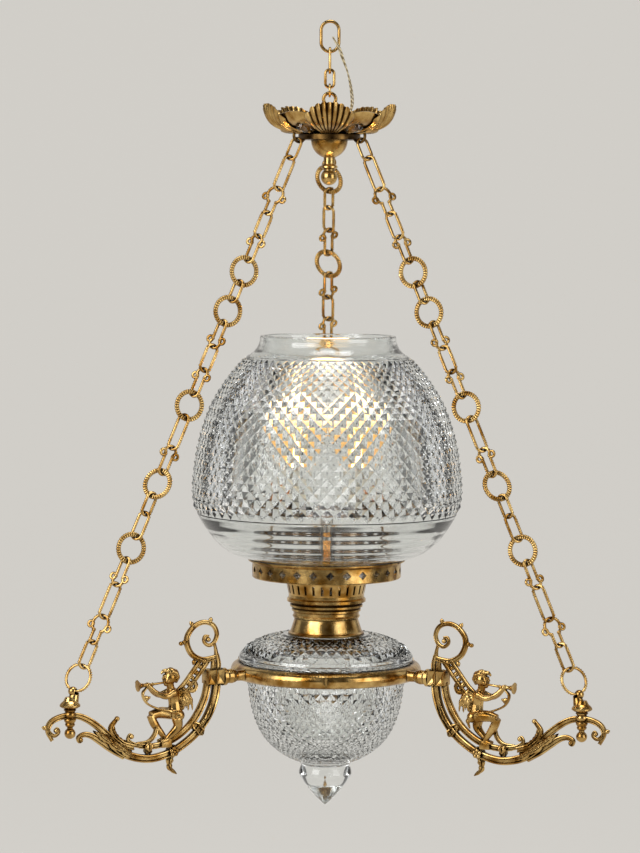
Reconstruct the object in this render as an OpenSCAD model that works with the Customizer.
/* [Hanging links] */
// Outside length of the top link
top_link_l = 33.2; // [26:0.2:42]
// Outside width of the top link
top_link_w = 21; // [18:0.5:26]
// Wire of the top link
top_wire = 3.2; // [2.4:0.1:3.8]
// Outside length of the second link
second_link_l = 27; // [22:0.5:34]
// Outside length of the third link
third_link_l = 20.6; // [19:0.2:26]
// Outside width of the second and third links
small_link_w = 11.5; // [11:0.5:14]
// Wire of the second and third links
small_wire = 2.8; // [2:0.1:3]
// Outside diameter of the ring over the canopy
canopy_ring_d = 14; // [12:0.5:18]
// Wire of the ring over the canopy
canopy_ring_wire = 2.4; // [1.8:0.1:2.8]

/* [Canopy] */
// Number of shell petals round the canopy
petals = 5; // [4:1:7]
// Reach of a petal tip from the axis
canopy_r = 65; // [58:1:76]
// Height of the petals over the canopy floor
canopy_h = 31; // [24:1:38]
// Height of the lobes between the petals
lobe_h = 21; // [16:1:24]
// Radius of the flat canopy floor
canopy_floor_r = 21; // [18:1:24]
// Sheet thickness of the canopy
canopy_t = 1.4; // [1:0.1:2]
// Depth of the flutes on a petal
flute_depth = 2; // [0.6:0.1:2.6]
// Number of flutes on a petal
flutes = 9; // [5:1:11]
// Length of the teardrop openings
drop_hole_l = 26; // [20:1:28]
// Width of the teardrop openings
drop_hole_w = 10; // [7:0.5:12]
// Length of the eye bolt from its eye to the canopy floor
eye_shank_l = 34; // [28:1:44]

/* [Chain plate and boss] */
// Radius of the chain plate
plate_r = 31; // [28:0.5:33]
// Thickness of the chain plate
plate_t = 5; // [4:0.5:7]
// Radius at which the chains hang
lug_r = 37; // [36:0.5:40]
// Wire of the cast claws
claw_wire = 3; // [2.6:0.1:3.4]
// Radius of the half-round boss
boss_r = 18.4; // [15:0.2:22]
// Wall of the boss
boss_wall = 2; // [1.5:0.1:3]
// Length of the neck under the boss
neck_l = 8; // [5:0.5:12]
// Radius of the neck under the boss
neck_r = 5.6; // [5.2:0.1:7]
// Radius of the finial ball
ball_r = 8.3; // [7:0.1:10]
// Radius of the rod that clamps the stack
rod_r = 3.6; // [2.5:0.1:4]

/* [Chains] */
// Wire of the plain and scroll links
link_wire = 2.8; // [2.2:0.1:3.2]
// Outside length of the hook link
hook_link_l = 25.6; // [22:0.2:30]
// Outside length of the long links
long_link_l = 39.6; // [34:0.2:46]
// Outside length of the plain links
plain_link_l = 31; // [26:0.2:36]
// Outside length of the short links
short_link_l = 26.2; // [22:0.2:30]
// Outside length of the scroll links
scroll_link_l = 32.6; // [29:0.2:38]
// Outside length of the wide scroll links
wide_link_l = 32.6; // [30:0.2:38]
// Outside width of the oval links
oval_link_w = 14; // [13:0.5:16]
// Outside width of the arch on a wide scroll link
wide_link_w = 20; // [18:0.5:24]
// Outside width of the narrow end of a scroll link
scroll_neck_w = 11.2; // [11:0.1:12]
// Outside diameter of the rope rings
rope_ring_d = 31; // [27:0.5:36]
// Wire of the rope rings
rope_wire = 4; // [3.2:0.1:4.4]
// Outside diameter of the end rings
end_ring_d = 29; // [26:0.5:34]
// Wire of the end rings
end_ring_wire = 2.6; // [2.2:0.1:2.8]

/* [Font ring and arms] */
// Radius of the font ring at the middle of its section
ring_r = 88; // [86:0.5:96]
// Radius of the font ring's round section
ring_section_r = 7.9; // [6.5:0.1:8.4]
// Length of a socket from the ring to the arm
socket_l = 23; // [18:0.5:30]
// Radius of the socket at its bulge
socket_r = 7.3; // [6:0.1:8]
// Reach of an arm from its socket to its post
arm_reach = 166; // [150:1:185]
// Drop of an arm below the ring axis to its lowest rail
arm_drop = 76; // [68:1:86]
// Depth of the cast rails, square to the arm
rail_depth = 6; // [4.5:0.1:7]
// Radius of the post flange
post_flange_r = 10; // [8:0.5:12]
// Height of the post from the arm to its hole
post_h = 19.5; // [16:0.5:24]
// Radius of the hole for the end ring
post_hole_r = 2.4; // [2.1:0.1:2.6]
// Radius of the ball under the arm
post_ball_r = 5.4; // [4.5:0.1:7]
// Height of the figure from its foot to its shoulder
figure_h = 48; // [44:0.5:52]
// Radius of the figure's head
head_r = 6.6; // [5.8:0.1:7.2]

/* [Glass font] */
// Largest radius of the font's shoulder
font_r = 87.7; // [86:0.1:90]
// Height of the font's dome over the ring axis
font_dome_h = 36; // [32:0.5:42]
// Depth of the font's bowl below the ring axis
font_bowl_h = 96; // [86:1:108]
// Wall of the glass font
font_wall = 6; // [4:0.5:8]
// Radius of the font's drop at its widest
drop_r = 26.5; // [23:0.5:29]
// Length of the glass drop
drop_l = 42; // [36:1:50]

/* [Burner] */
// Radius of the collar's flange on the font
collar_r = 38.2; // [36:0.2:41]
// Height of the collar on the font
collar_h = 16.6; // [14:0.2:20]
// Largest radius of the burner's turned body
burner_r = 39.6; // [37:0.2:41]
// Height of the burner's turned body
burner_h = 20.6; // [18:0.2:24]
// Height of the slotted basket
basket_h = 20; // [17:0.5:24]
// Radius of the basket's top
basket_r = 42; // [41:0.5:46]
// Number of air slots, which is also the number of diamond holes
airways = 28; // [20:2:32]
// Width of an air slot
slot_w = 2.5; // [1.8:0.1:3]
// Radius of the gallery band
gallery_r = 74.8; // [73:0.1:78]
// Height of the gallery band
gallery_h = 17; // [14:0.5:20]
// Sheet thickness of the burner parts
sheet_t = 1.5; // [1.2:0.1:2]
// Side of the diamond holes
diamond = 6.2; // [4.5:0.1:7]

/* [Bulb] */
// Length of the riser tube over the burner
riser_l = 104; // [94:1:112]
// Radius of the riser tube
riser_r = 6; // [5:0.1:7]
// Height of the lamp holder
holder_h = 50; // [44:1:56]
// Radius of the lamp holder
holder_r = 19; // [17.5:0.1:21]
// Radius of the bulb's glass
bulb_r = 30; // [26:0.5:33]
// Height of the bulb's glass over the holder
bulb_h = 76; // [72:1:84]

/* [Shade] */
// Largest radius of the shade
shade_r = 134.8; // [124:0.2:142]
// Height of the shade over the gallery
shade_h = 224; // [205:1:240]
// Radius of the shade's top rim
shade_rim_r = 68.3; // [62:0.1:74]
// Wall of the shade
shade_wall = 5; // [3.5:0.5:6.5]
// Depth of the shade's foot inside the gallery
shade_foot_h = 12; // [8:0.5:12.5]

/* [Flex] */
// Diameter of one strand of the flex
strand_d = 1.6; // [1.2:0.1:2]
// Radius of the bush that the flex comes out of
bush_r = 5; // [4.6:0.1:5.2]
// Distance of the bush from the axis
bush_at = 15.4; // [15.2:0.1:16]

/* [Hidden] */
$fn = 48;

// Clearance between pieces that seat on each other
gap = 0.3;
// Running clearance of a rod or spigot in its hole
fit = 0.15;

brass = "#b08a3c";
dark_brass = "#7d5f2a";
glass = "#dfe6e6";

// Azimuth of each arm and chain
LEFT = 210;
RIGHT = 330;
REAR = 90;

// Heights of the hanging links, each from the underside of its top bend
second_z = -(top_link_l - 2 * top_wire) + gap;
third_z = second_z - (second_link_l - 2 * small_wire) + gap;
canopy_ring_z = third_z - (third_link_l - 2 * small_wire) + gap;
eye_wire = 3.4;
eye_r = 4.4 + eye_wire / 2;
eye_z = canopy_ring_z - (canopy_ring_d - 2 * canopy_ring_wire) + gap - 4.4;

// Heights of the stack below the canopy
floor_z = eye_z - eye_shank_l;
plate_z = floor_z - canopy_t;
boss_z = plate_z - plate_t;
neck_z = boss_z - boss_r + 2;
collar_z = neck_z - neck_l;
ball_z = collar_z - 5 - ball_r * 0.9;

// Claws that the chains hang from
claw_r = 6.2;
claw_z = boss_z - 0.6 - claw_wire / 2;

// Inside length of a link is what it adds to a chain
function link_l(kind) =
    kind == "hook" ? hook_link_l - 2 * link_wire :
    kind == "long" ? long_link_l - 2 * link_wire :
    kind == "plain" ? plain_link_l - 2 * link_wire :
    kind == "short" ? short_link_l - 2 * link_wire :
    kind == "jump" ? 11 :
    kind == "scroll" || kind == "scroll_up" ? scroll_link_l - 2 * link_wire :
    kind == "wide" ? wide_link_l - 2 * link_wire :
    kind == "rope" ? rope_ring_d - 2 * rope_wire :
    kind == "end" ? end_ring_d - 2 * end_ring_wire :
    take_up;

SIDE_CHAIN = ["hook", "long", "wide", "plain", "scroll", "rope", "short", "rope", "scroll_up",
              "plain", "scroll", "rope", "long", "scroll", "rope", "short", "plain", "rope",
              "scroll_up", "long", "wide", "plain", "end"];
REAR_CHAIN = ["hook", "jump", "rope", "short", "plain", "scroll", "rope", "scroll_up", "plain",
              "scroll", "rope", "long", "wide", "plain", "scroll", "rope", "take_up", "rope",
              "scroll_up", "plain", "long", "wide", "short", "end"];

function total(list, n) = n == 0 ? 0 : total(list, n - 1) + link_l(list[n - 1]) - gap;
function except(list, kind, n) =
    n == 0 ? 0 : except(list, kind, n - 1) + (list[n - 1] == kind ? 0 : link_l(list[n - 1])) - gap;

// One hidden link of the rear chain takes up the difference, so that the ring hangs level
take_up = total(SIDE_CHAIN, len(SIDE_CHAIN)) - except(REAR_CHAIN, "take_up", len(REAR_CHAIN));

// The chain runs straight from its claw to the hole in the post
post_at = ring_r + ring_section_r + socket_l + arm_reach;
eye_lean = 3;
chain_l = total(SIDE_CHAIN, len(SIDE_CHAIN)) - claw_wire / 2 - gap + post_hole_r;
chain_dx = post_at - eye_lean - lug_r;
chain_drop = sqrt(chain_l * chain_l - chain_dx * chain_dx);
chain_tilt = atan(chain_dx / chain_drop);

// Heights of the hanging ring, the font and the burner
post_foot = -23 * arm_drop / 76;
ring_z = claw_z - chain_drop - post_foot - post_h;
dome_z = ring_z + font_dome_h;
collar_top_z = dome_z + collar_h;
burner_z = collar_top_z + burner_h;
basket_z = burner_z + basket_h;
gallery_z = basket_z + gallery_h;
holder_z = burner_z + riser_l;

// Points of a smooth curve through a few chosen points
function spline(a, b, c, d, t) =
    b + (c - a) * t / 2 + (2 * a - 5 * b + 4 * c - d) * t * t / 2
    + (3 * b - a - 3 * c + d) * t * t * t / 2;
function smooth(p, k) = let (n = len(p))
    [for (i = [0:n - 2]) for (j = [0:k - 1])
        spline(i == 0 ? 2 * p[0] - p[1] : p[i - 1], p[i], p[i + 1],
               i == n - 2 ? 2 * p[n - 1] - p[n - 2] : p[i + 2], j / k),
     p[n - 1]];

// Value at share t of a list of evenly spaced keys
function key(list, t) = len(list) == 1 ? list[0] :
    let (x = t * (len(list) - 1), i = min(floor(x), len(list) - 2))
    list[i] + (list[i + 1] - list[i]) * (x - i);

function unit(v) = v / norm(v);
function in_plane(p) = [p.x, 0, p.y];

// Tube along 3D points, with a half width and a half depth for each station
module sweep(path, widths, depths, sides) {
    n = len(path);
    points = [for (i = [0:n - 1])
        let (along = unit(path[min(i + 1, n - 1)] - path[max(i - 1, 0)]),
             deep = unit([0, 1, 0] - along.y * along),
             wide = cross(deep, along),
             w = key(widths, i / (n - 1)),
             d = key(depths, i / (n - 1)))
        for (j = [0:sides - 1])
            let (a = 360 * (j + 0.5) / sides)
            path[i] + wide * w * cos(a) + deep * d * sin(a)];
    sides_faces = [for (i = [0:n - 2]) for (j = [0:sides - 1])
        let (a = i * sides + j, b = i * sides + (j + 1) % sides)
        each [[a, a + sides, b], [b, a + sides, b + sides]]];
    first_cap = [for (j = [0:sides - 1]) j];
    last_cap = [for (j = [0:sides - 1]) (n - 1) * sides + sides - 1 - j];
    polyhedron(points, concat(sides_faces, [first_cap, last_cap]));
}

// Cast rail along points of the arm's own plane
module rail(points, widths, depth, k = 2, sides = 6)
    sweep([for (p = smooth(points, k)) in_plane(p)], widths, [depth], sides);

module limb(points, radii, k = 2, sides = 8)
    sweep(smooth(points, k), radii, radii, sides);

module torus(mean_r, wire)
    rotate_extrude() translate([mean_r, 0]) circle(d = wire);

// Half ring that bends over the top, in the XZ plane
module bend(mean_r, wire)
    rotate([90, 0, 0]) rotate_extrude(angle = 180) translate([mean_r, 0]) circle(d = wire);

// Oval link that hangs from the underside of its top bend
module oval_link(length, width, wire) {
    mean_r = (width - wire) / 2;
    top = wire / 2 - mean_r;
    straight = length - width;
    translate([0, 0, top]) bend(mean_r, wire);
    translate([0, 0, top - straight]) rotate([0, 180, 0]) bend(mean_r, wire);
    for (side = [-1, 1])
        translate([side * mean_r, 0, top - straight]) cylinder(d = wire, h = straight);
}

module round_link(outer_d, wire)
    translate([0, 0, -(outer_d / 2 - wire)]) rotate([90, 0, 0]) torus((outer_d - wire) / 2, wire);

// Link with a head arch that narrows to beaded shoulders, two side volutes and a narrow end
module scroll_link(length, head_w) {
    head_r = (head_w - link_wire) / 2;
    neck_half = (scroll_neck_w - link_wire) / 2;
    top = link_wire / 2 - head_r;
    open = acos(neck_half / head_r);
    shoulder_z = top - head_r * sin(open);
    end_z = -(length - 1.5 * link_wire - neck_half);
    translate([0, 0, top]) rotate([90, 0, 0]) rotate([0, 0, -open])
        rotate_extrude(angle = 180 + 2 * open) translate([head_r, 0]) circle(d = link_wire);
    for (side = [-1, 1]) {
        translate([side * neck_half, 0, shoulder_z]) sphere(d = link_wire * 1.3);
        translate([side * neck_half, 0, end_z]) cylinder(d = link_wire, h = shoulder_z - end_z);
        translate([side * (head_r + 1.2), 0, top - 3]) rotate([90, 0, 0]) torus(2.5, 1.9);
    }
    translate([0, 0, end_z]) rotate([0, 180, 0]) bend(neck_half, link_wire);
}

module chain_link(kind) {
    if (kind == "hook") oval_link(hook_link_l, oval_link_w, link_wire);
    if (kind == "long") oval_link(long_link_l, oval_link_w, link_wire);
    if (kind == "plain") oval_link(plain_link_l, oval_link_w, link_wire);
    if (kind == "short") oval_link(short_link_l, oval_link_w - 2, link_wire);
    if (kind == "jump") round_link(link_l("jump") + 2 * link_wire, link_wire);
    if (kind == "take_up") oval_link(take_up + 2 * link_wire, oval_link_w, link_wire);
    if (kind == "scroll") scroll_link(scroll_link_l, oval_link_w);
    if (kind == "scroll_up")
        translate([0, 0, -link_l(kind)]) rotate([0, 180, 0]) scroll_link(scroll_link_l, oval_link_w);
    if (kind == "wide") scroll_link(wide_link_l, wide_link_w);
    if (kind == "rope") round_link(rope_ring_d, rope_wire);
    if (kind == "end") round_link(end_ring_d, end_ring_wire);
}

// Places its children on the claw of one arm, with -Z down the chain
module on_chain(azimuth)
    rotate([0, 0, azimuth]) translate([lug_r, 0, claw_z]) rotate([0, -chain_tilt, 0])
        translate([0, 0, claw_wire / 2 + gap]) children();

// Neighbouring links are turned by 60 degrees, about the way that they face in the room
function link_turn(azimuth, i) =
    azimuth == REAR ? (i % 2 == 0 ? 60 : 120) :
    azimuth == LEFT ? (i % 2 == 0 ? -60 : 0) :
    (i % 2 == 0 ? 60 : 0);

module links(azimuth, kinds) {
    list = azimuth == REAR ? REAR_CHAIN : SIDE_CHAIN;
    on_chain(azimuth)
        for (i = [0:len(list) - 1])
            if (len([for (k = kinds) if (k == list[i]) 1]) > 0)
                translate([0, 0, -total(list, i)]) rotate([0, 0, link_turn(azimuth, i)])
                    chain_link(list[i]);
}

module top_link() color(brass) oval_link(top_link_l, top_link_w, top_wire);

module second_link()
    color(brass) translate([0, 0, second_z]) rotate([0, 0, 90])
        oval_link(second_link_l, small_link_w, small_wire);

module third_link()
    color(brass) translate([0, 0, third_z]) oval_link(third_link_l, small_link_w, small_wire);

module canopy_ring()
    color(brass) translate([0, 0, canopy_ring_z]) rotate([0, 0, 90])
        round_link(canopy_ring_d, canopy_ring_wire);

// Eye bolt: an eye on a turned shank, with a flange that bears on the canopy floor
module canopy_eye() color(brass) translate([0, 0, eye_z]) difference() {
    union() {
        rotate([90, 0, 0]) torus(eye_r, eye_wire);
        translate([0, 0, -eye_shank_l]) rotate_extrude() polygon([
            [0, 0], [9.8, 0], [9.8, 2.5], [7, 5], [6, 9], [4.6, 13],
            [3.6, eye_shank_l - eye_r - 3], [2.4, eye_shank_l - eye_r], [0, eye_shank_l - eye_r]]);
    }
    translate([0, 0, -eye_shank_l - 1]) cylinder(r = rod_r + fit, h = 12);
}

// Radius of the canopy sheet at share t of its height: a wide dish with an upright rim
function canopy_curve(t) = canopy_floor_r + (canopy_r - canopy_floor_r) * lookup(t, [
    [0, 0], [0.04, 0.2], [0.13, 0.45], [0.22, 0.66], [0.36, 0.82], [0.55, 0.92], [0.77, 0.98], [1, 1]]);

// Each petal and each lobe between takes the same share of the turn
module canopy() {
    stations = 5;
    per_petal = 2 * flutes + 1;
    per_lobe = 4;
    period = per_petal + per_lobe;
    count = period * petals;
    petal_share = 0.7;
    function turn(i) = let (p = floor(i / period), k = i % period)
        (360 / petals) * (p + (k <= per_petal
            ? petal_share * (k / per_petal - 0.5)
            : petal_share / 2 + (1 - petal_share) * (k - per_petal) / per_lobe));
    function bulge(k) = k <= per_petal ? cos(180 * (k / per_petal - 0.5)) : 0;
    function top_of(i) = let (k = i % period)
        lobe_h + (canopy_h - lobe_h) * (k <= per_petal
            ? pow(bulge(k), 0.5) : -0.2 * sin(180 * (k - per_petal) / per_lobe));
    function fold(i) = let (k = i % period)
        k <= per_petal ? (k % 2 == 0 ? -0.5 : 0.5) * flute_depth : 0;
    function at(i, j, out) = let (t = pow(j / stations, 2), h = top_of(i) * t,
            s = h / canopy_h, k = i % period,
            r = canopy_curve(s) + fold(i) * (0.3 + 0.7 * t) + (k <= per_petal ? 0 : -2.5 * t))
        [(r + out * canopy_t) * cos(turn(i)), (r + out * canopy_t) * sin(turn(i)),
         floor_z - canopy_t + (canopy_t + h) * (out == 1 && j == 0 ? 0 : 1)
         + (out == 1 ? -canopy_t * (1 - s) * (j == 0 ? 0 : 1) : 0)];
    points = [for (out = [0, 1]) for (j = [0:stations]) for (i = [0:count - 1]) at(i, j, out)];
    function id(out, j, i) = (out * (stations + 1) + j) * count + i % count;
    walls = [for (j = [0:stations - 1]) for (i = [0:count - 1]) each [
        [id(0, j, i), id(0, j, i + 1), id(0, j + 1, i)],
        [id(0, j, i + 1), id(0, j + 1, i + 1), id(0, j + 1, i)],
        [id(1, j, i), id(1, j + 1, i), id(1, j, i + 1)],
        [id(1, j, i + 1), id(1, j + 1, i), id(1, j + 1, i + 1)]]];
    rims = [for (i = [0:count - 1]) each [
        [id(0, stations, i), id(0, stations, i + 1), id(1, stations, i)],
        [id(0, stations, i + 1), id(1, stations, i + 1), id(1, stations, i)],
        [id(0, 0, i), id(1, 0, i), id(0, 0, i + 1)],
        [id(0, 0, i + 1), id(1, 0, i), id(1, 0, i + 1)]]];
    color(brass) rotate([0, 0, -90]) difference() {
        union() {
            polyhedron(points, concat(walls, rims));
            translate([0, 0, floor_z - canopy_t])
                cylinder(r = canopy_floor_r + canopy_t / 2, h = canopy_t);
        }
        for (i = [0:petals - 1])
            rotate([0, 0, (i + 0.5) * 360 / petals]) teardrop_cut();
        translate([0, 0, floor_z - 5]) cylinder(r = rod_r + fit, h = 10);
        rotate([0, 0, 90]) translate([bush_at, 0, floor_z - 5]) cylinder(r = bush_r - 1, h = 10);
    }
}

// Teardrop with its point towards the axis
module teardrop_cut()
    translate([0, 0, floor_z - 4]) linear_extrude(canopy_h) polygon(concat(
        [[canopy_floor_r + 3, 0]],
        [for (a = [-110:20:110])
            [canopy_floor_r + 3 + drop_hole_l - drop_hole_w / 2 + drop_hole_w / 2 * cos(a),
             drop_hole_w / 2 * sin(a)]]));

// Turned plate with three cast claws
module chain_plate() color(dark_brass) difference() {
    union() {
        translate([0, 0, boss_z]) cylinder(r = plate_r, h = plate_t);
        for (azimuth = [LEFT, RIGHT, REAR]) rotate([0, 0, azimuth])
            translate([lug_r - claw_r * sin(chain_tilt), 0, claw_z + claw_r * cos(chain_tilt)])
                rotate([90, 0, 0]) rotate([0, 0, 175])
                rotate_extrude(angle = 212) translate([claw_r, 0]) circle(d = claw_wire);
    }
    translate([0, 0, boss_z - 1]) cylinder(r = rod_r + fit, h = plate_t + 2);
}

// Hollow half-round boss on a turned neck
module cup_boss() color(brass) translate([0, 0, boss_z]) difference() {
    union() {
        difference() {
            sphere(r = boss_r);
            sphere(r = boss_r - boss_wall);
            translate([-boss_r, -boss_r, 0]) cube(2 * boss_r);
        }
        translate([0, 0, -boss_r + 0.5 - neck_l + 1.5]) cylinder(r = neck_r, h = neck_l + 3);
    }
    translate([0, 0, -boss_r - neck_l - 1]) cylinder(r = rod_r + fit, h = boss_r + neck_l + 2);
}

module stem_rod()
    color(dark_brass) translate([0, 0, ball_z]) cylinder(r = rod_r, h = floor_z + 8 - ball_z);

// Collar and ball in one piece, screwed on the rod from below
module finial_ball() color(brass) difference() {
    union() {
        translate([0, 0, ball_z]) sphere(r = ball_r);
        translate([0, 0, collar_z - 5]) rotate_extrude() polygon([
            [0, -3], [5.4, -3], [5.4, 0], [8.4, 1.6], [8.4, 3.2], [neck_r + 0.8, 5], [0, 5]]);
    }
    translate([0, 0, ball_z - gap]) cylinder(r = rod_r + fit, h = 40);
}

// Insulating bush in the canopy floor, with a flange on top and a bore that holds both strands
module flex_bush() color("#2b2320") translate([bush_at, 0, floor_z]) difference() {
    union() {
        cylinder(r = bush_r, h = 3);
        translate([0, 0, -canopy_t + 0.1]) cylinder(r = bush_r - 1 - fit, h = canopy_t);
    }
    translate([0, 0, -canopy_t]) cylinder(r = strand_d + fit, h = canopy_t + 5);
}

// Route of the flex, from the bush up beside the links and into the opening of the top link
FLEX_ROUTE = [[bush_at, 0, floor_z + 0.6], [bush_at + 0.1, 0, floor_z + 5],
              [17.4, -0.8, -97], [20.5, -1.5, -88], [22.5, -2, -80], [22, -2.5, -70], [20, -3, -58],
              [16.8, -3.8, -46], [13, -4.6, -36], [10.3, -5, -28], [7.4, -5.2, -22],
              [4.6, -5.6, -17.5], [2.8, -5.8, -14]];

// The two strands lie side by side and turn round each other
module strand(side, node_color) {
    lay = side * (strand_d / 2 + 0.1);
    route = [for (i = [0:len(FLEX_ROUTE) - 1])
        FLEX_ROUTE[i] + [lay * cos(40 * i), lay * sin(40 * i), 0]];
    color(node_color) sweep(smooth(route, 2), [strand_d / 2], [strand_d / 2], 8);
}

// Places its children at an arm's socket end, with +X out along the arm
module on_arm(azimuth)
    rotate([0, 0, azimuth]) translate([ring_r + ring_section_r + socket_l, 0, ring_z]) children();

module font_ring()
    color(brass) translate([0, 0, ring_z]) torus(ring_r, 2 * ring_section_r);

// Thumbscrews between the arms, which steady the font
module ring_screws()
    color(brass) for (azimuth = [LEFT + 60, RIGHT + 60, REAR + 60])
        rotate([0, 0, azimuth]) translate([ring_r + ring_section_r + gap, 0, ring_z])
            rotate([0, 90, 0]) {
                cylinder(r = 2.6, h = 3);
                translate([-5.2, -1.2, 2]) cube([10.4, 2.4, 4.5]);
            }

// Turned ferrule between the ring and the arm
module socket() color(brass) difference() {
    rotate([0, 90, 0]) translate([0, 0, -socket_l - ring_section_r * 0.3]) rotate_extrude()
        polygon([[0, 0], [socket_r - 1.4, 0], [socket_r - 1.8, 4], [socket_r - 2, 9],
                 [socket_r - 0.6, 12], [socket_r, 15], [socket_r - 0.4, socket_l - 4],
                 [socket_r - 1.4, socket_l + ring_section_r * 0.3 - 4],
                 [socket_r + 1.5, socket_l + ring_section_r * 0.3 - 3.4],
                 [socket_r + 1.5, socket_l + ring_section_r * 0.3],
                 [0, socket_l + ring_section_r * 0.3]]);
    translate([-socket_l - ring_section_r - ring_r, 0, 0]) torus(ring_r, 2 * (ring_section_r + gap));
}

// A point of the arm's outline, in shares of its reach and drop
function on(u, w) = [u * arm_reach / 166, w * arm_drop / 76];

OUTER_RAIL = [on(6, -4), on(8, -18), on(12, -30), on(19, -42), on(29, -52), on(41, -60.5),
              on(54, -67), on(67, -71), on(81, -72.5), on(96, -70.5), on(109, -65), on(121, -57)];
INNER_RAIL = [on(16, -4), on(19, -18), on(25, -30), on(33, -41), on(43, -49.5), on(55, -56),
              on(68, -60), on(80, -61), on(91, -59)];
TOP_RAIL = [on(112, -60), on(124, -50), on(135, -40.5), on(147, -32), on(158, -28),
            on(171, -27), on(182, -29.5), on(188, -34), on(189, -41), on(185, -50)];
LOW_RAIL = [on(108, -68), on(121, -61), on(133, -53.5), on(143, -47), on(151, -45.5),
            on(157, -48), on(155, -52)];
CREST = [for (t = [0:0.0625:1]) let (a = -105 + 570 * t, r = 1.6 + 16 * (1 - t * t))
    on(25.5 - 7 * t + r * cos(a), 42.5 + r * sin(a))];

// Cast arm: rails, crest scroll, strut, leaves and bands in one piece
module arm_casting() {
    d = rail_depth / 2;
    foot_y = -55 * arm_drop / 76;
    difference() {
        union() {
            translate([0, -7, -6]) cube([19, 14, 14]);
            rail(OUTER_RAIL, [4.2, 4, 3.8, 3.8, 4, 5], d);
            rail(INNER_RAIL, [3.6, 3.4, 3.2, 2.6], d * 0.9);
            rail([on(7, 6), on(7, 15), on(8.5, 24)], [5, 4.4, 3.6], d);
            rail(concat([on(7, 25)], CREST), [3, 2.6, 2.4, 2.2, 2, 1.6, 1.8], d * 0.8, 1);
            rail([on(8, 23), on(7, 31), on(9, 38)], [2.2, 1.6, 1.6], d * 0.7, 1);
            rail([on(15, 26), on(28, 13), on(40, 1), on(47.5, -6)], [2.6, 2.4, 2.6], d * 0.7, 1);
            rail([on(91, -59), on(98, -55), on(103, -50), on(101, -46)], [2.2, 1.8, 1.4, 1.6], d * 0.6);
            rail(TOP_RAIL, [3.4, 3.2, 3, 2.8, 2.6, 1.4], d * 0.9, 1);
            rail(LOW_RAIL, [4.4, 3.4, 2.6, 1.8, 1.8], d * 0.8, 1);
            rail([on(100, -66), on(112, -60), on(124, -52), on(136, -44.5)], [3, 5, 5, 2.5], d * 0.6, 1);
            rail([on(189, -41), on(182, -45), on(178, -42), on(181, -38)], [1.8, 1.6, 1.4, 1.8], d * 0.6);
            rail([on(97, -58), on(110, -54), on(119, -46), on(122, -37), on(117, -29)], [2.4, 3, 2.6, 1.8, 0.8], d * 0.6);
            rail([on(52, -66), on(57, -74), on(56, -82), on(49, -87)], [2.6, 3.4, 2.6, 0.7], d * 0.5);
            rail([on(75.4, -46.5), on(77.5, -52), on(84, -56.5), on(94, -57)], [1.4, 1.8, 1.8, 1.6], d * 0.5);
            // Bands, heart boss, plinth and post boss
            for (b = [[23, -53, 31, -44], [50, -70, 58, -63], [82, -66, 82, -58]])
                hull() {
                    translate(in_plane(on(b[0], b[1]))) rotate([90, 0, 0])
                        cylinder(r = 4.4, h = rail_depth + 2, center = true, $fn = 12);
                    translate(in_plane(on(b[2], b[3]))) rotate([90, 0, 0])
                        cylinder(r = 4.4, h = rail_depth + 2, center = true, $fn = 12);
                }
            // Buds round the crest and at the tip
            for (b = [[16.4, 56.3, 14, 66], [34, 55, 39, 61], [41.5, 42.5, 47, 43], [29.7, 25.5, 31, 19],
                      [190, -38, 195, -36]])
                hull() {
                    translate(in_plane(on(b[0], b[1]))) sphere(r = 1.6, $fn = 6);
                    translate(in_plane(on(b[2], b[3]))) sphere(r = 2.3, $fn = 6);
                }
            // Plinth under the figure's foot
            translate([on(57, 0).x, -4, foot_y - 8]) cube([11, 8, 8]);
            translate([arm_reach, 0, post_foot - 11]) cylinder(r = 5.6, h = 11, $fn = 20);
        }
        translate([arm_reach, 0, post_foot - 20]) cylinder(r = 2 + fit, h = 40, $fn = 20);
        translate([-20, -20, -20]) cube([20, 40, 40]);
        translate(in_plane(on(47, -6))) rotate([0, 45, 0]) translate([0, -10, -10]) cube([20, 20, 20]);
    }
}

module arm(azimuth) color(brass) on_arm(azimuth) arm_casting();

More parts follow.
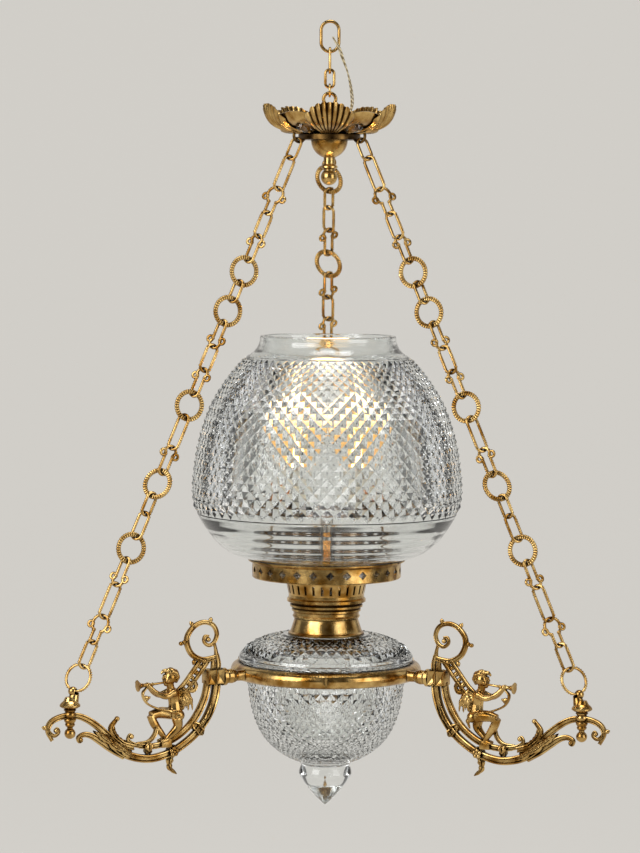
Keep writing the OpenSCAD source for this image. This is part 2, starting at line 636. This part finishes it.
// Winged child that blows a horn, with one knee raised, cast apart and pinned to the arm
module figure_casting() {
    foot_y = -55 * arm_drop / 76;
    lift = figure_h / 48;
    function body(u, y, w) = [on(u, 0).x, y, foot_y + (w + 55) * lift];
    difference() {
        union() {
            // Torso, hips and drapery
            limb([body(57, 0, -3), body(54.5, 0, -9), body(53, 0, -18), body(52, 0, -27), body(53, 0, -35)],
                 [3, 6.4, 5.4, 7, 4.4], 2, 10);
            limb([body(57, 0, -6), body(58, 0, -1), body(58.5, 0, 4)], [3, 2.6, 3]);
            translate(body(58, 0, 9)) sphere(r = head_r, $fn = 20);
            translate(body(56, 0, 12.5)) sphere(r = head_r * 0.92, $fn = 18);
            // Arms to the horn
            for (side = [-1, 1])
                limb([body(56, side * 5, -7), body(65, side * 6.5, -10), body(74, side * 3.5, -7), body(82, side * 1.4, 2)],
                     [2.8, 2.6, 2.2, 2]);
            limb([body(65, 0, 4), body(78, 0, 3), body(88, 0, 2.4), body(92, 0, 2.2), body(94, 0, 2.2)],
                 [1, 1.3, 2, 4, 6.4]);
            // Raised leg, standing leg and feet
            limb([body(54, -4, -30), body(66, -4.5, -29), body(77, -4, -31)], [5, 4.8, 3.8]);
            limb([body(77, -4, -31), body(71, -3, -43), body(63, -1.5, -54), body(63, -1.5, -58)], [3.6, 3.4, 2.2, 2]);
            limb([body(52, 4, -33), body(52, 4, -43), body(62, 2, -54), body(62, 2, -58)], [4.6, 3.2, 2.2, 2]);
            // Scarf from the hand to the hip, and the wings
            limb([body(83, 0, 0), body(88, 0, -9), body(82, 0, -19), body(70, 0, -24), body(58, 0, -27)],
                 [1.2, 1.6, 2, 1.8, 1.2], 2, 6);
            for (side = [-1, 1])
                limb([body(51, side * 3, -9), body(44, side * 6, -12), body(37, side * 7, -25)],
                     [2, 3.4, 0.8], 2, 6);
            limb([body(54, 0, -10), body(50, 0, -8.6), body(45, 0, -3.5)], [3.4, 3, 3], 2);
        }
        translate([0, -30, foot_y - 40 + gap]) cube([200, 60, 40]);
        translate(in_plane(on(47, -6))) rotate([0, 45, 0])
            translate([-40, -20, -20]) cube([40 + gap, 40, 40]);
    }
}

module figure(azimuth) color(brass) on_arm(azimuth) figure_casting();

// Turned post with a cross hole in line with its end ring
module post(azimuth) {
    list = azimuth == REAR ? REAR_CHAIN : SIDE_CHAIN;
    turn = link_turn(azimuth, len(list) - 1);
    color(brass) on_arm(azimuth) translate([arm_reach, 0, post_foot]) difference() {
        union() {
            rotate_extrude() polygon([
                [0, 0], [5, 0], [6.2, 1.6], [5, 3.2], [post_flange_r - 2, 3.6], [post_flange_r, 5],
                [post_flange_r, 6.6], [post_flange_r - 1.6, 8.6], [6.4, 10.4], [4.6, 14], [0, 14]]);
            translate([0, 0, -11 - 9]) cylinder(r = 2, h = 24);
            rotate([0, -atan(eye_lean / (post_h - 8)), 0]) translate([-0.6, 0, 8])
                cylinder(r1 = 6, r2 = 4, h = post_h - 8);
            translate([-eye_lean, 0, post_h]) sphere(r = post_hole_r + 2.2);
        }
        translate([-eye_lean, 0, post_h]) rotate([0, -chain_tilt, 0]) rotate([0, 0, turn]) {
            rotate([0, 90, 0]) cylinder(r = post_hole_r, h = 30, center = true);
            translate([0, 0, post_hole_r - gap + end_ring_d / 2 - end_ring_wire])
                rotate([90, 0, 0]) torus((end_ring_d - end_ring_wire) / 2, end_ring_wire + 1.8);
        }
    }
}

// Beads and ball screwed on the post's shank under the arm
module post_ball(azimuth) color(brass) on_arm(azimuth) translate([arm_reach, 0, post_foot - 11]) {
    difference() {
        union() {
            rotate_extrude() polygon([[0, 0], [4.2, 0], [5, -1.6], [4.2, -3.2], [2.8, -4.2], [2.8, -8], [0, -8]]);
            translate([0, 0, -6 - post_ball_r * 0.8]) sphere(r = post_ball_r);
        }
        translate([0, 0, -9 - gap]) cylinder(r = 2 + fit, h = 20);
    }
}

// Outline of the font from its mouth to its neck, round the ring axis
bowl_r = ring_r - ring_section_r - 1;
ledge_z = ring_section_r + gap;
FONT_OUTLINE = [[43, font_dome_h], [60, font_dome_h * 0.9], [73.6, font_dome_h * 0.74],
                [font_r - 4.4, font_dome_h * 0.57], [font_r - 1, font_dome_h * 0.42],
                [font_r, font_dome_h * 0.34], [font_r - 0.6, ledge_z], [bowl_r, ledge_z],
                [bowl_r, 0], [bowl_r * 0.975, -font_bowl_h * 0.2], [bowl_r * 0.955, -font_bowl_h * 0.34],
                [bowl_r * 0.93, -font_bowl_h * 0.43], [bowl_r * 0.885, -font_bowl_h * 0.55],
                [bowl_r * 0.79, -font_bowl_h * 0.7], [bowl_r * 0.66, -font_bowl_h * 0.815],
                [bowl_r * 0.52, -font_bowl_h * 0.9], [30, -font_bowl_h * 0.955], [24.5, -font_bowl_h]];
mouth_r = 31;

module font() color(glass, 0.5) translate([0, 0, ring_z]) rotate_extrude() difference() {
    polygon(concat([[0, font_dome_h]], FONT_OUTLINE, [[0, -font_bowl_h]]));
    polygon(concat(
        [[-1, font_dome_h + 1], [mouth_r, font_dome_h + 1], [mouth_r, font_dome_h - font_wall]],
        [for (p = FONT_OUTLINE) if (p.x > mouth_r + 12.5 && p.y < font_dome_h * 0.95)
            [min(p.x, bowl_r) - font_wall, p.y > 0 ? p.y - font_wall : p.y * (1 - font_wall / font_bowl_h)]],
        [[18, -font_bowl_h + 2 * font_wall], [-1, -font_bowl_h + 2 * font_wall]]));
}

// Solid glass drop with a faceted point
module font_drop() color(glass, 0.5) translate([0, 0, ring_z - font_bowl_h]) {
    rotate_extrude() polygon([
        [0, 0], [24, 0], [25.4, -drop_l * 0.08], [drop_r, -drop_l * 0.21], [drop_r - 0.6, -drop_l * 0.27],
        [drop_r - 2.4, -drop_l * 0.36], [21.5, -drop_l * 0.44], [18.4, -drop_l * 0.55], [16.4, -drop_l * 0.6],
        [0, -drop_l * 0.6]]);
    translate([0, 0, -drop_l]) cylinder(r1 = 0.6, r2 = 16, h = drop_l * 0.41, $fn = 12);
}

// Collar cemented in the font's mouth, with a bore for the burner's spigot
spigot_r = 26;
module font_collar() color(brass) translate([0, 0, dome_z]) rotate_extrude() polygon([
    [spigot_r + fit, -7], [mouth_r - gap, -7], [mouth_r - gap, 0], [collar_r, 0], [collar_r, 1.8],
    [collar_r - 2, 3], [collar_r - 2.6, 4.4], [31.9, collar_h - 0.6], [31.4, collar_h], [spigot_r + fit, collar_h]]);

// Turned burner body with its threaded spigot
module burner_body() color(brass) translate([0, 0, collar_top_z]) difference() {
    rotate_extrude() polygon([
        [22, -8], [spigot_r, -8], [spigot_r, 0], [33, 0], [34, 1.8], [33, 3.4], [33, 6], [34.8, 7.2],
        [34.8, 8.8], [33.8, 10], [36.6, 11.4], [36.6, 13.2], [35.4, 14.4], [burner_r, 16.6],
        [burner_r, burner_h - 1.4], [burner_r - 1.4, burner_h], [0, burner_h], [0, burner_h - 3],
        [22, burner_h - 3]]);
    translate([0, 0, burner_h - 5]) cylinder(r = riser_r + fit, h = 10);
}

// Slotted air basket
module air_basket() color(brass) translate([0, 0, burner_z]) difference() {
    rotate_extrude() polygon([
        [basket_r - 6 - sheet_t, 0], [basket_r - 4, 0], [basket_r - 4, sheet_t], [basket_r - 4, 3],
        [basket_r - 1.4, basket_h - 4], [basket_r, basket_h - 3], [basket_r, basket_h],
        [basket_r - 2 - sheet_t, basket_h], [basket_r - 2 - sheet_t, basket_h - 4],
        [basket_r - 6 - sheet_t, 3]]);
    for (i = [0:airways - 1]) rotate([0, 0, (i + 0.5) * 360 / airways])
        translate([basket_r - 12, -slot_w / 2, basket_h * 0.24]) cube([16, slot_w, basket_h * 0.45]);
}

// Gallery: floor, band with diamond holes and rolled lip, and four prongs inside
module gallery() color(brass) translate([0, 0, basket_z]) {
    difference() {
        rotate_extrude() polygon([
            [riser_r + 8, 0], [gallery_r - 1, 0], [gallery_r, 1], [gallery_r, gallery_h - 2],
            [gallery_r + 4, gallery_h], [gallery_r + 4, gallery_h + 1.5], [gallery_r, gallery_h + 1.5],
            [gallery_r - sheet_t, gallery_h - 1], [gallery_r - sheet_t, sheet_t],
            [riser_r + 8, sheet_t]]);
        for (i = [0:airways / 2 - 1]) rotate([0, 0, (i + 0.21) * 360 / airways])
            translate([0, 0, gallery_h * 0.5]) rotate([45, 0, 0])
                cube([200, diamond, diamond], center = true);
        for (i = [0:5]) rotate([0, 0, i * 60]) translate([30, 0, -1]) cylinder(r = 4, h = 5);
    }
    for (i = [0:3]) rotate([90, 0, i * 90]) linear_extrude(7, center = true)
        polygon([[62.4, 0.5], [64.4, 0.5], [65.8, 24], [54.6, 42], [53, 41], [63.8, 23.4]]);
}

// Plated tube that carries the lamp holder
module riser_tube() color("#c9c9c4") translate([0, 0, burner_z - 3]) difference() {
    union() {
        cylinder(r = riser_r, h = riser_l + 3);
        translate([0, 0, 3]) cylinder(r = riser_r + 3.5, h = 5);
    }
    translate([0, 0, -1]) cylinder(r = riser_r - 1.5, h = riser_l + 5);
}

// Screw lamp holder with its open mouth up
module lamp_holder() color("#e8e2d2") translate([0, 0, holder_z]) difference() {
    rotate_extrude() polygon([
        [0, 0], [9, 0], [holder_r - 4, 8], [holder_r - 3, holder_h * 0.45], [holder_r, holder_h * 0.47],
        [holder_r, holder_h * 0.62], [holder_r - 2, holder_h * 0.66], [holder_r - 2, holder_h - 1],
        [holder_r - 3, holder_h], [0, holder_h]]);
    translate([0, 0, holder_h * 0.4]) cylinder(r = 13.4, h = holder_h);
    translate([0, 0, -1]) cylinder(r = riser_r - 1.5, h = holder_h);
}

// Screw cap of the bulb, seated on the holder's centre contact
module bulb_cap() color("#c9c9c4") translate([0, 0, holder_z + holder_h * 0.4]) rotate_extrude()
    polygon([[0, gap], [5, gap], [9, 4], [13, 5], [12.4, 7.4], [13, 9.8], [12.4, 12.2], [13, 14.6],
             [12.4, 17], [13, 19.4], [13, holder_h * 0.6], [13, holder_h * 0.6 + 4], [0, holder_h * 0.6 + 4]]);

// Glass envelope, open at the cap
bulb_c = holder_h + bulb_h - bulb_r;
module bulb_glass() color(glass, 0.6) translate([0, 0, holder_z]) difference() {
    union() {
        translate([0, 0, bulb_c]) sphere(r = bulb_r);
        translate([0, 0, holder_h + 4]) cylinder(r1 = 14, r2 = bulb_r * 0.93, h = bulb_c - holder_h - 4 - bulb_r * 0.37);
    }
    translate([0, 0, bulb_c]) sphere(r = bulb_r - 1);
    translate([0, 0, holder_h + 3]) cylinder(r1 = 13, r2 = bulb_r * 0.93 - 1.2, h = bulb_c - holder_h - 3 - bulb_r * 0.37);
}

// Stem and filament on the cap
module bulb_filament() color("#f2b45a") translate([0, 0, holder_z + holder_h + 4]) {
    cylinder(r1 = 5, r2 = 2.4, h = bulb_h * 0.4);
    for (side = [-1, 1]) {
        translate([side * 1.4, 0, bulb_h * 0.39]) rotate([0, side * 32, 0]) cylinder(r = 0.4, h = 13);
        translate([side * 8.2, 0, bulb_h * 0.39 + 10.9]) sphere(r = 0.7);
    }
    translate([-8.2, 0, bulb_h * 0.39 + 10.9]) rotate([0, 90, 0]) cylinder(r = 0.5, h = 16.4);
}

// Outline of the shade from its foot to its rim, over the gallery lip
foot_r = gallery_r - sheet_t - 1;
shade_rise = shade_h / 224;
SHADE_BELLY = [[38.8, 6], [26.2, 15], [17, 26], [5, 44], [1.2, 56], [0, 72], [1.6, 90], [4.8, 112],
               [10.2, 133], [17.4, 153], [26.2, 169], [35, 182], [43.6, 193], [51.6, 201]];
SHADE_OUTLINE = concat(
    [[foot_r, -shade_foot_h], [foot_r, 0], [gallery_r + 3, 0]],
    [for (p = SHADE_BELLY) [shade_r - p.x, p.y * shade_rise]],
    [[shade_rim_r + 6.8, 207 * shade_rise], [shade_rim_r + 2, 214 * shade_rise],
     [shade_rim_r, 221 * shade_rise], [shade_rim_r, shade_h]]);

module shade() color(glass, 0.4) translate([0, 0, gallery_z + 1.5 + gap]) rotate_extrude() polygon(concat(
    SHADE_OUTLINE,
    [for (i = [len(SHADE_OUTLINE) - 1:-1:0]) let (p = SHADE_OUTLINE[i])
        [p.x - shade_wall, p.y <= 0 ? (i == 0 ? p.y : shade_wall * 0.6) : (i < 8 ? p.y + shade_wall * 0.7 : p.y)]]));

top_link();
second_link();
third_link();
canopy_ring();
canopy_eye();
canopy();
chain_plate();
cup_boss();
stem_rod();
finial_ball();
flex_bush();
strand(-1, "#cfc5a8");  // flex_left
strand(1, "#c9b98c");  // flex_right
color(brass) links(LEFT, ["hook"]);  // hook_link_left
color(brass) links(LEFT, ["long"]);  // long_links_left
color(brass) links(LEFT, ["plain", "short"]);  // plain_links_left
color(brass) links(LEFT, ["scroll", "scroll_up", "wide"]);  // scroll_links_left
color(brass) links(LEFT, ["rope"]);  // rope_rings_left
color(brass) links(LEFT, ["end"]);  // end_ring_left
color(brass) links(RIGHT, ["hook"]);  // hook_link_right
color(brass) links(RIGHT, ["long"]);  // long_links_right
color(brass) links(RIGHT, ["plain", "short"]);  // plain_links_right
color(brass) links(RIGHT, ["scroll", "scroll_up", "wide"]);  // scroll_links_right
color(brass) links(RIGHT, ["rope"]);  // rope_rings_right
color(brass) links(RIGHT, ["end"]);  // end_ring_right
color(brass) links(REAR, ["hook"]);  // hook_link_rear
color(brass) links(REAR, ["long"]);  // long_links_rear
color(brass) links(REAR, ["jump", "plain", "short", "take_up"]);  // plain_links_rear
color(brass) links(REAR, ["scroll", "scroll_up", "wide"]);  // scroll_links_rear
color(brass) links(REAR, ["rope"]);  // rope_rings_rear
color(brass) links(REAR, ["end"]);  // end_ring_rear
font_ring();
ring_screws();
on_arm(LEFT) socket();  // socket_left
arm(LEFT);  // arm_left
figure(LEFT);  // figure_left
post(LEFT);  // post_left
post_ball(LEFT);  // post_ball_left
on_arm(RIGHT) socket();  // socket_right
arm(RIGHT);  // arm_right
figure(RIGHT);  // figure_right
post(RIGHT);  // post_right
post_ball(RIGHT);  // post_ball_right
on_arm(REAR) socket();  // socket_rear
arm(REAR);  // arm_rear
figure(REAR);  // figure_rear
post(REAR);  // post_rear
post_ball(REAR);  // post_ball_rear
font();
font_drop();
font_collar();
burner_body();
air_basket();
gallery();
riser_tube();
lamp_holder();
bulb_cap();
bulb_glass();
bulb_filament();
shade();
